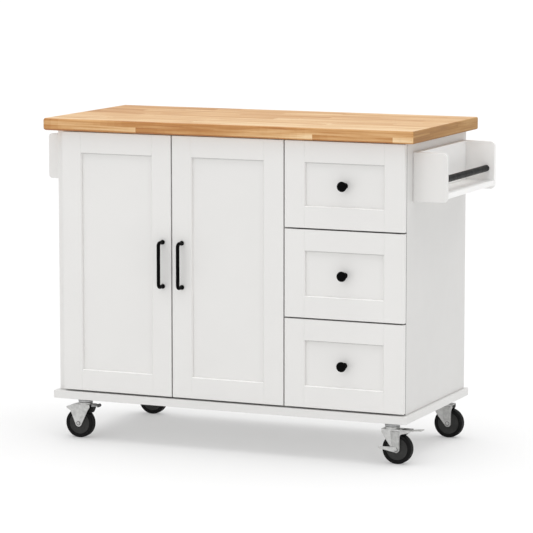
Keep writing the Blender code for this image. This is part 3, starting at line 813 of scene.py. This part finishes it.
# ------------------------------------------------------------------- casters
LEG_IN, LEG_T, LEG_TOP = 0.0135, 0.0025, 0.055
# outlines (x, z) from the axle
LEG_TRAILING = arc(0, 0, 0.010, 205, 360, 14) + [
    (0.0105, 0.036), (0.0118, 0.041), (0.0140, 0.045), (0.0140, 0.055), (-0.044, 0.055),
    (-0.0445, 0.049), (-0.034, 0.027),
]
LEG_TRAILING_BRAKE = arc(0, 0, 0.010, 205, 360, 14) + [
    (0.0102, 0.036), (0.0115, 0.0395), (0.0160, 0.0423), (0.0230, 0.0440), (0.0375, 0.0475),
    (0.0400, 0.0490), (0.0400, 0.055), (-0.043, 0.055), (-0.043, 0.046), (-0.0295, 0.0250),
]
LEG_LEADING = arc(0, 0, 0.010, 203, 338, 14) + [
    (0.029, 0.038), (0.0325, 0.0430), (0.0350, 0.0465), (0.0350, 0.055), (-0.006, 0.055),
    (-0.020, 0.0532), (-0.0385, 0.0465), (-0.0375, 0.0425), (-0.0345, 0.0405), (-0.025, 0.035),
]
RIB_FOOT = arc(0, 0, 0.0096, 190, 360, 12) + [(0.0097, 0.050), (-0.0175, 0.050), (-0.0125, 0.012)]
RIB_FACE = arc(0, 0, 0.0084, 190, 360, 12) + [(0.0085, 0.049), (-0.0105, 0.049), (-0.0095, 0.012)]
BRAKE_ARM = [(0.004, 0.008), (-0.051, 0.006), (-0.053, 0.003), (-0.048, 0.000), (-0.004, -0.008)]
LEVER = [
    (0.0378, 0.0484), (0.0470, 0.0488), (0.0520, 0.0508), (0.0590, 0.0512), (0.0590, 0.0538),
    (0.0520, 0.0536), (0.0460, 0.0562), (0.0378, 0.0566),
]
SHOE_LONG = [
    (0.004, 0.0445), (0.012, 0.0425), (0.020, 0.0392), (0.027, 0.0348), (0.033, 0.0300),
    (0.0375, 0.0310), (0.0440, 0.0450), (0.0425, 0.0468), (0.004, 0.0468),
]
SHOE_SHORT = [
    (-0.006, 0.0445), (0.006, 0.0440), (0.014, 0.0418), (0.020, 0.0392), (0.026, 0.0400),
    (0.027, 0.0462), (-0.006, 0.0468),
]
# profiles (radius, height) of what is turned
LOWER_RACE = [
    (0, -0.001), (0.0195, -0.001), (0.0205, 0.0010), (0.0205, 0.0055), (0.0190, 0.0065), (0, 0.0065),
]
AXLE_HEAD = [
    (0, 0), (0.0044, 0), (0.0044, 0.0013), (0.0034, 0.0019), (0.0020, 0.0019), (0.0012, 0.0010), (0, 0.0010),
]
WASHER = [(0.0045, 0), (0.0062, 0), (0.0062, 0.0004), (0.0045, 0.0007)]
PLATE_SCREW = [(0, 0.0004), (0.0045, 0.0004), (0.0045, -0.0012), (0.0036, -0.0020), (0, -0.0023)]


def wheel(node):
    """Rubber tyre on a dished hub, with a boss round the axle."""
    lo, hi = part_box(node)
    c = ((lo.x + hi.x) / 2, (lo.y + hi.y) / 2, (lo.z + hi.z) / 2)
    R = (hi.z - lo.z) / 2
    half = [
        (0.0308, 0.0096), (0.0312, 0.0108), (0.0322, 0.0119), (0.0338, 0.0126), (0.0392, 0.0126),
        (0.0406, 0.0119), (0.0414, 0.0106), (0.0419, 0.0086), (R, 0.0060),
    ]
    ring = [(r, -h) for r, h in half] + [(r, h) for r, h in reversed(half)]
    tyre = lathe(ring, 84, c, "Y", closed=True)
    piece(node + "_tyre", tyre, MATERIALS["tyre"], BODY[node], node, smooth=40)
    half = [
        (0.0046, 0.0130), (0.0086, 0.0130), (0.0092, 0.0124), (0.0098, 0.0106), (0.0112, 0.0096),
        (0.0150, 0.0090), (0.0262, 0.0090), (0.0284, 0.0095), (0.0300, 0.0102), (0.0310, 0.0102),
    ]
    ring = [(r, -h) for r, h in half] + [(r, h) for r, h in reversed(half)]
    hub = lathe(ring, 72, c, "Y", closed=True)
    piece(node + "_hub", hub, HUB, BODY[node], smooth=40)


def placed(outline, x, R):
    """An outline given from the axle, moved to the axle at x and height R."""
    return [(x + u, R + w) for u, w in outline]


def caster_fork(fork, x, y, R, swivel_x, brake):
    """Two legs under a crown, the swivel's lower race, the axle with its heads and washers."""
    trailing = x > swivel_x
    outer = LEG_IN + LEG_T
    if trailing:
        leg = LEG_TRAILING_BRAKE if brake else LEG_TRAILING
        crown = (-0.043, 0.014)
    else:
        leg, crown = LEG_LEADING, (-0.006, 0.034)
    bm = prism(placed(leg, x, R), y - outer, y - LEG_IN)
    prism(placed(leg, x, R), y + LEG_IN, y + outer, bm)
    half = outer - LEG_T / 2
    box((x + crown[0], y - half, R + 0.0525), (x + crown[1], y + half, R + 0.0548), bm)
    if trailing:
        foot, face = placed(RIB_FOOT, x, R), placed(RIB_FACE, x, R)
        rib = prism(foot, y - outer, y - outer - 0.0020, None, face)
        prism(foot, y + outer, y + outer + 0.0020, rib, face)
        # The ribs take the darker copy of the zinc: painted shade.
        piece(fork + "_ribs", rib, RIB_SHADED, BODY[fork], bevel=0.0004, segments=2)
    lathe(LOWER_RACE, 40, (swivel_x, y, R + LEG_TOP), "Z", bm=bm)
    skin = outer + (0.0018 if trailing else 0)
    # Painted shade: dark zinc washer rings round the axle heads stand in for the shade there.
    washers = bmesh.new()
    for axis, s in (("-Y", -1), ("Y", 1)):
        end = (x, y + s * skin, R)
        lathe(AXLE_HEAD, 28, end, axis, bm=bm)
        lathe(WASHER, 28, end, axis, True, washers)
    piece(fork + "_washers", washers, SHADE, BODY[fork], smooth=40)
    lathe([(0, -LEG_IN), (0.0040, -LEG_IN), (0.0040, LEG_IN), (0, LEG_IN)], 24, (x, y, R), "Y", bm=bm)
    if brake and trailing:
        prism(placed(BRAKE_ARM, x, R), y - outer - 0.0036, y - outer - 0.0012, bm)
    piece(fork + "_pressing", bm, MATERIALS["zinc_steel"], BODY[fork], fork, bevel=0.0006, segments=2)


def caster_plate(plate, y, R):
    """The top plate with its four screws, and the race under it."""
    lo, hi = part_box(plate)
    x, under = (lo.x + hi.x) / 2, hi.z - 0.0026
    bm = box((lo.x, lo.y, under), (hi.x, hi.y, hi.z))
    race = R + LEG_TOP + 0.0071
    height = under - race + 0.0004
    profile = [(0, 0), (0.0200, 0), (0.0210, 0.0008), (0.0210, height * 0.42)]
    profile += [(0.0196, height * 0.48), (0.0196, height * 0.56), (0.0225, height * 0.62)]
    profile += [(0.0225, height - 0.0010), (0.0214, height), (0, height)]
    ring = lathe(profile, 48, (x, y, race), "Z")
    # The race takes the darker copy of the zinc: painted shade.
    piece(plate + "_race", ring, RACE_SHADED, BODY[plate], smooth=40)
    for u in (-1, 1):
        for v in (-1, 1):
            lathe(PLATE_SCREW, 18, (x + u * 0.024, y + v * 0.020, under), "Z", bm=bm)
    piece(plate + "_pressing", bm, MATERIALS["zinc_steel"], BODY[plate], plate, bevel=0.0006, segments=2)


def caster_brake(name, x, y, R, trailing):
    """The shoe on the fork and the pedal: a bent strip, or a thick lever with a plastic tip."""
    fork, pedal = name + "_caster_fork", name + "_brake_pedal"
    shoe = prism(placed(SHOE_SHORT if trailing else SHOE_LONG, x, R), y - 0.0110, y + 0.0110)
    piece(name + "_brake_shoe", shoe, PAD, BODY[fork], bevel=0.0008, segments=2)
    lo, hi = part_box(pedal)
    if trailing:
        under = []
        for i in range(13):
            s = i / 12
            under.append((lo.x + (hi.x - lo.x) * s, lo.z + 0.0002 + 0.0052 * (3 * s * s - 2 * s ** 3)))
        outline = under + [(px, pz + 0.0024) for px, pz in reversed(under)]
        bm = prism(outline, lo.y, hi.y)
        piece(
            pedal + "_lever", bm, MATERIALS["zinc_steel"], BODY[pedal], pedal, bevel=0.0005, segments=2
        )
        return
    middle = (lo.y + hi.y) / 2
    bm = prism(placed(LEVER, x, R), middle - 0.0105, middle + 0.0105)
    # The lever takes the darker copy of the zinc: painted shade.
    piece(pedal + "_lever", bm, LEVER_STEEL_SHADED, BODY[pedal], pedal, bevel=0.0009, segments=3)
    profile = [(0, -0.0085), (0.0034, -0.0085), (0.0046, -0.0073), (0.0048, -0.0060)]
    profile += [(r, -h) for r, h in reversed(profile)]
    bm = lathe(profile, 28, (x + 0.0575, middle, R + 0.0528), "Y")
    piece(pedal + "_tip", bm, TIP, BODY[pedal], smooth=40)


def caster(name, brake):
    """Fork, top plate and, on the front pair, the brake, round the wheel's axle."""
    lo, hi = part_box(name + "_caster_wheel")
    plo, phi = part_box(name + "_caster_plate")
    x, y, R = (lo.x + hi.x) / 2, (lo.y + hi.y) / 2, (hi.z - lo.z) / 2
    swivel_x = (plo.x + phi.x) / 2
    caster_fork(name + "_caster_fork", x, y, R, swivel_x, brake)
    caster_plate(name + "_caster_plate", y, R)
    if brake:
        caster_brake(name, x, y, R, x > swivel_x)


# ------------------------------------------------------------------ assemble
worktop()
# The base board in the darker copy of the paint: painted shade.
remake("base_board", 0.0016, material=BASE_SHADED)
remake("left_side_panel", 0.0018)
# The right side panel in the darker copy of the paint: painted shade, with a painted shadow line on its front
# edge.
remake("right_side_panel", 0.0018, material=RIGHT_SIDE_SHADED)
# The top rail, partition and hinge stile in the grey copy of the paint: painted shade.
for node in ("front_top_rail", "centre_partition", "hinge_stile"):
    remake(node, material=CARCASS_SHADED)
remake("cupboard_shelf")
remake("back_panel", 0.0005, 1)
# The spice rack's back and shelf in the paler copy of the paint: painted light.
remake("spice_rack_back", material=RACK_LIT)
remake("spice_rack_shelf", material=RACK_LIT)
for node in ("left_door", "right_door", "bottom_drawer", "middle_drawer", "top_drawer"):
    shaker(node + "_frame", node + "_panel")
for side in ("left", "right"):
    handle(side + "_door_handle")
    for place in ("lower", "upper"):
        hinge(side + "_door_hinge_" + place)
    lo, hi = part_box(side + "_door_handle")
    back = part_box(side + "_door_frame")[1].y
    places = [((lo.x + hi.x) / 2, back, z) for z in (lo.z + FOOT_R, hi.z - FOOT_R)]
    screws(side + "_door_handle_screws", places, "Y", BODY[side + "_door_handle"])
shelf_pins()
back_screws()
for level in ("bottom", "middle", "top"):
    knob(level + "_drawer_knob")
    drawer_box(level + "_drawer_box")
    runner(level + "_runner_left")
    runner(level + "_runner_right")
# The spice rack's rear end takes the paler copy of the paint: painted light.
for end, material in (("front", MATERIALS["white_lacquer"]), ("rear", RACK_LIT)):
    rack_end("spice_rack_" + end + "_end", 1, 0.013, "chamfer", material)
    rack_end("towel_rack_" + end + "_bracket", -1, 0.010, "round", MATERIALS["white_lacquer"])
bar("spice_rack_bar")
bar("towel_rack_bar")
for name in ("front_left", "front_right", "rear_left", "rear_right"):
    wheel(name + "_caster_wheel")
    caster(name, name.startswith("front"))


# --------------------------------------------------------------------- studio
REACH = 90.0            # half the floor's side
FLOOR_GLOW, WORLD_LIGHT = 0.27, 0.555
CAMERA_PLACE = (3.2261, -7.4840, 1.5877)
CAMERA_DOWN, CAMERA_ROUND = 7.644, 23.33    # degrees below level, and round from the front
LENS = 196.5            # mm, on a 36 mm sensor

floor_mat = Shader("studio_floor", (0.625, 0.625, 0.625), 0.9)
floor_mat.put("Roughness", floor_mat.span(floor_mat.noise(8.0), 0.86, 0.94))
floor_mat.set("Specular IOR Level", 0.1)
floor_mat.set("Emission Color", (1.0, 1.0, 1.0, 1.0))   # a lit floor, as on a light table
floor_mat.set("Emission Strength", FLOOR_GLOW)
floor_mesh = bpy.data.meshes.new("studio_floor")
floor_mesh.from_pydata(
    [(-REACH, -REACH, 0), (REACH, -REACH, 0), (REACH, REACH, 0), (-REACH, REACH, 0)], [], [(0, 1, 2, 3)]
)
floor = bpy.data.objects.new("studio_floor", floor_mesh)
floor_mesh.materials.append(floor_mat.mat)
floor.location.z = -0.0002
bpy.context.scene.collection.objects.link(floor)
floor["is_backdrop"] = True

world = bpy.data.worlds.new("studio")
bpy.context.scene.world = world
world.use_nodes = True
world.node_tree.nodes["Background"].inputs[0].default_value = (1.0, 1.0, 1.0, 1.0)
world.node_tree.nodes["Background"].inputs[1].default_value = WORLD_LIGHT


def softbox(name, towards, strength, spread):
    """Even light from far away, travelling along towards, with soft shadows."""
    light = bpy.data.lights.new(name, "SUN")
    light.energy = strength * pi
    light.angle = radians(spread)
    obj = bpy.data.objects.new(name, light)
    obj.rotation_euler = Vector(towards).to_track_quat("-Z", "Y").to_euler()
    bpy.context.scene.collection.objects.link(obj)


softbox("overhead", (-0.03, -0.07, -1.0), 0.63, 80)
softbox("right", (-0.90, 0.15, -0.42), 0.08, 60)
softbox("front_left", (0.22, 0.95, -0.22), 0.155, 50)

scene = bpy.context.scene
scene.view_settings.view_transform = "Standard"
scene.view_settings.look = "None"

camera = bpy.data.cameras.new("camera")
camera.sensor_width = 36.0
camera.lens = LENS
cam = bpy.data.objects.new("camera", camera)
cam.location = CAMERA_PLACE
cam.rotation_euler = (radians(90 - CAMERA_DOWN), 0, radians(CAMERA_ROUND))
scene.collection.objects.link(cam)
scene.camera = cam

lo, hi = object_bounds()
